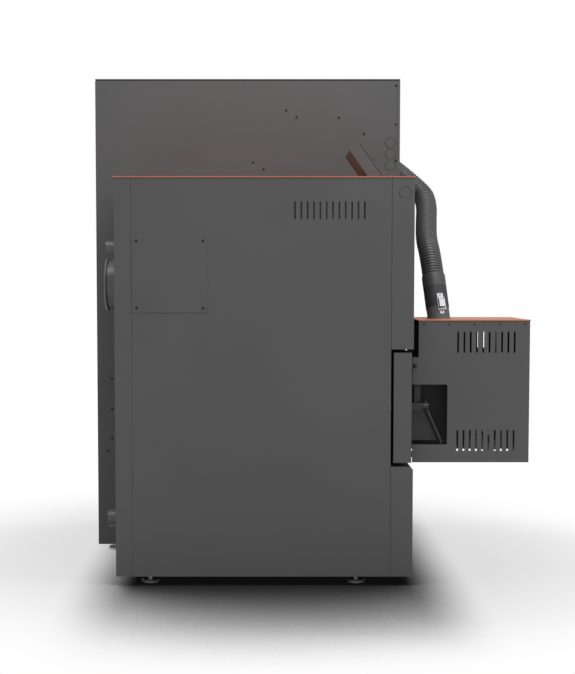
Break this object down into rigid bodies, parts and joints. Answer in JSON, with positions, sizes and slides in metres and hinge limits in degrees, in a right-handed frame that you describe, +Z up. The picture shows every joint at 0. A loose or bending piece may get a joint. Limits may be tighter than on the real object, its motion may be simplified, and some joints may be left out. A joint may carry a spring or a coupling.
{
  "type": "pellet boiler",
  "caption": "Pellet boiler with a covered burner on its door, a ribbed feed hose and a tall hopper cabinet beside it.",
  "frame": {"origin": "on the floor under the middle of the whole, boiler and hopper together", "axes": "+Z up, the front with the burner faces -Y, the hopper stands on the +X side"},
  "size_m": [1.0544, 1.358, 1.566],
  "materials": {
    "dark_paint": "satin powder coat",
    "orange_paint": "satin powder coat",
    "raw_steel": "dull mill finish",
    "zinc": "bright zinc plate",
    "silver_paint": "gloss paint",
    "black_plastic": "fine texture",
    "hose_plastic": "satin",
    "cuff_rubber": "matte",
    "wool": "fibrous board",
    "rope": "woven rope",
    "screen": "polished",
    "motor_alloy": "cast"
  },
  "bodies": {
    "boiler": {"base_frame": "dark_paint", "levelling_feet": "zinc", "water_jacket": "raw_steel", "firebox": "raw_steel", "smoke_box": "raw_steel", "fire_tubes": "raw_steel", "turbulators": "raw_steel", "cleaning_lid": "raw_steel", "flue_spigot": "silver_paint", "supply_pipe": "silver_paint", "return_pipe": "silver_paint", "insulation": "wool", "near_side_panel": "dark_paint", "far_side_panel": "dark_paint", "access_plate": "dark_paint", "rear_cover": "dark_paint", "upper_front_cover": "dark_paint", "top_cover": "orange_paint", "door_hinges": "dark_paint", "controller_case": "black_plastic", "controller_fascia": "black_plastic", "display": "screen", "hopper_near_panel": "dark_paint", "hopper_far_panel": "dark_paint", "hopper_front_panel": "dark_paint", "hopper_rear_panel": "dark_paint", "hopper_base": "raw_steel", "hopper_floor": "zinc", "feeder_tube": "raw_steel", "feeder_motor": "motor_alloy", "hopper_brackets": "zinc", "lid_hinges": "zinc", "panel_screws": "dark_paint", "pellet_hose": "hose_plastic"},
    "door": {"burner_door": "dark_paint", "door_insulation": "wool", "door_seal": "rope", "handle_bracket": "black_plastic", "burner_tube": "raw_steel", "burner_housing": "raw_steel", "burner_gear_motor": "motor_alloy", "terminal_box": "black_plastic", "fan_housing": "raw_steel", "pellet_spigot": "dark_paint", "hose_cuff": "cuff_rubber", "latch_plates": "zinc", "burner_cover": "dark_paint", "burner_cover_top": "orange_paint", "cover_screws": "zinc"},
    "handle": {"door_handle": "black_plastic"},
    "drawer": {"ash_drawer": "raw_steel", "lower_front_cover": "dark_paint"},
    "lid": {"hopper_lid": "dark_paint"},
    "knob": {"controller_knob": "black_plastic"},
    "switch": {"main_switch": "black_plastic"},
    "fan_wheel": {"fan_wheel": "zinc"},
    "burner_screw": {"burner_feed_screw": "raw_steel"},
    "feeder_screw": {"feeder_screw": "raw_steel"},
    "latch_lever": {"latch_lever": "zinc"},
    "latch_bail": {"latch_bail": "zinc"}
  },
  "joints": [
    {"name": "burner_door_swing", "type": "hinge", "parent": "boiler", "child": "door", "pos_m": [-0.0699, -0.324, 0.531], "axis": [0, 0, 1], "range_deg": [0, 90], "deforming": ["pellet_hose"]},
    {"name": "door_handle_turn", "type": "hinge", "parent": "door", "child": "handle", "pos_m": [-0.4379, -0.367, 0.528], "axis": [0, 1, 0], "range_deg": [0, 80]},
    {"name": "ash_drawer_slide", "type": "slide", "parent": "boiler", "child": "drawer", "axis": [0, -1, 0], "range_m": [0, 0.45]},
    {"name": "hopper_lid_swing", "type": "hinge", "parent": "boiler", "child": "lid", "pos_m": [0.2456, 0.676, 1.563], "axis": [-1, 0, 0], "range_deg": [0, 60]},
    {"name": "controller_knob_turn", "type": "hinge", "parent": "boiler", "child": "knob", "pos_m": [-0.2099, -0.20726, 1.27215], "axis": [0, -0.8178, 0.5755], "continuous": true},
    {"name": "main_switch_rock", "type": "hinge", "parent": "boiler", "child": "switch", "pos_m": [-0.3759, -0.20644, 1.27158], "axis": [-1, 0, 0], "range_deg": [0, 12]},
    {"name": "fan_wheel_spin", "type": "hinge", "parent": "door", "child": "fan_wheel", "pos_m": [-0.2919, -0.576, 0.435], "axis": [1, 0, 0], "continuous": true},
    {"name": "burner_screw_spin", "type": "hinge", "parent": "door", "child": "burner_screw", "pos_m": [-0.2919, -0.441, 0.531], "axis": [0, 1, 0], "continuous": true},
    {"name": "feeder_screw_spin", "type": "hinge", "parent": "boiler", "child": "feeder_screw", "pos_m": [0.0156, 0.17307, 0.89333], "axis": [0, -0.5388, 0.8424], "continuous": true},
    {"name": "latch_lever_turn", "type": "hinge", "parent": "door", "child": "latch_lever", "pos_m": [-0.31102, -0.4301, 0.8521], "axis": [-0.1951, 0.9806, -0.0179], "range_deg": [0, 120]},
    {"name": "latch_bail_turn", "type": "hinge", "parent": "latch_lever", "child": "latch_bail", "pos_m": [-0.30552, -0.42905, 0.84996], "axis": [-0.1951, 0.9806, -0.0179], "range_deg": [-120, 0]}
  ],
  "couplings": [
    {"joint": "latch_bail_turn", "follows": "latch_lever_turn", "ratio": -1}
  ]
}
